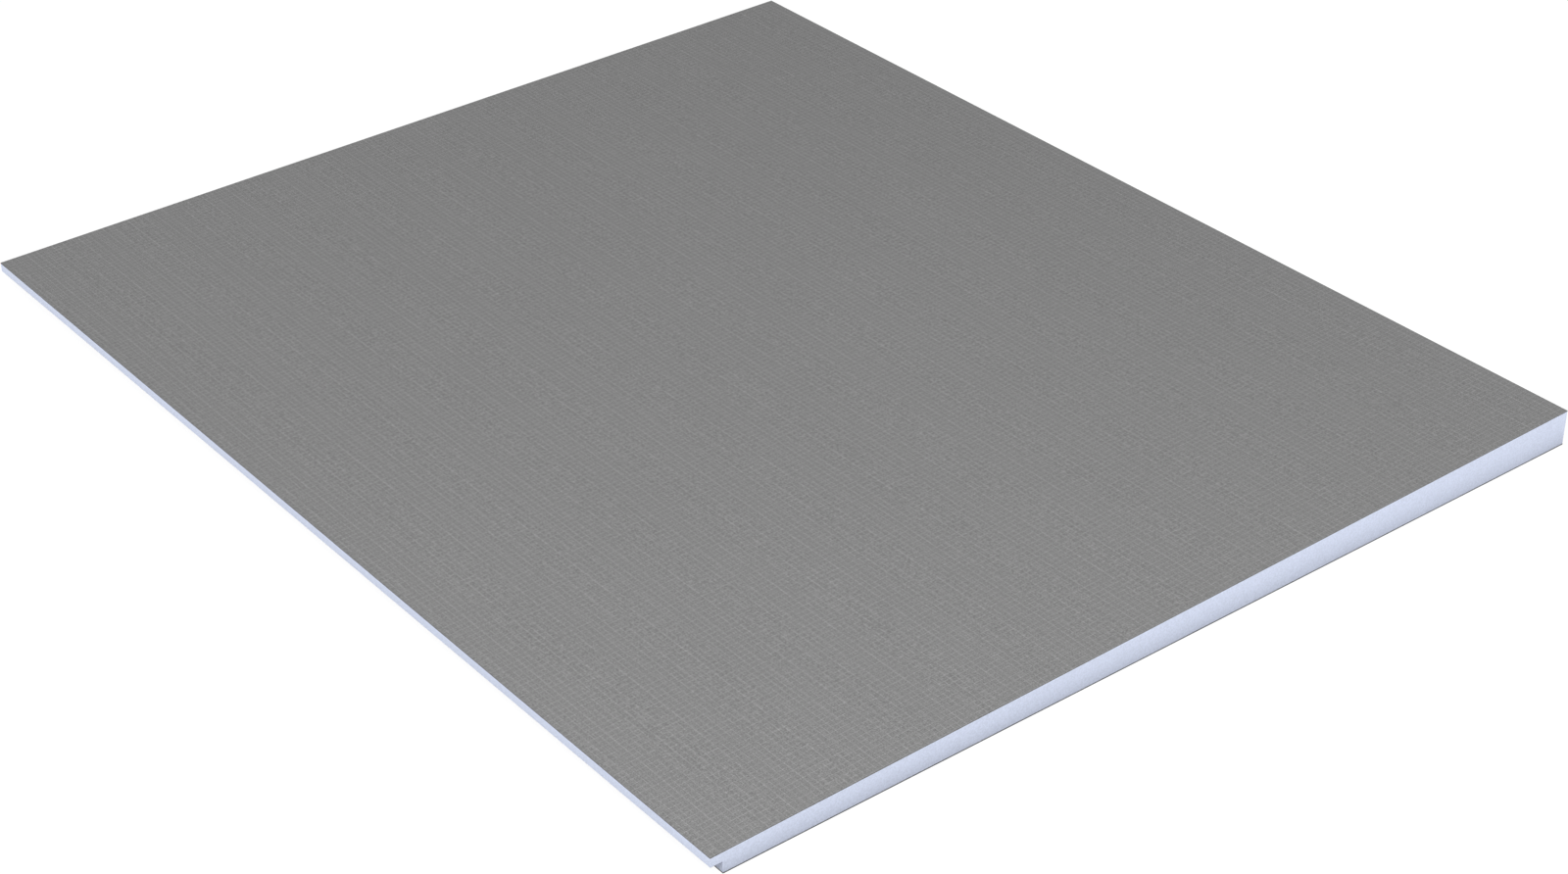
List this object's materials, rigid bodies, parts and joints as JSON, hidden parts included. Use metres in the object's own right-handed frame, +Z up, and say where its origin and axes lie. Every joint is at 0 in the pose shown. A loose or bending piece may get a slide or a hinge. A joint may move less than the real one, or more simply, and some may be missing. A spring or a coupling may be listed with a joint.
{
  "type": "shower sloping board",
  "caption": "Sloping board for a shower floor: a rigid foam wedge between mesh-reinforced cement coats, falling from its high edge to a rebated lip that laps over a drain channel.",
  "frame": {"origin": "middle of the footprint, on the floor", "axes": "+X up the fall, from the drain edge to the high edge; +Y along the drain edge; +Z up"},
  "size_m": [1, 1.2, 0.037],
  "materials": {
    "foam": "pale blue closed-cell rigid foam, sawn edges",
    "cement_coat": "matt grey polymer cement with a fine glass mesh showing through"
  },
  "bodies": {
    "root": {"foam_core": "foam", "top_coating": "cement_coat", "bottom_coating": "cement_coat"}
  },
  "joints": []
}
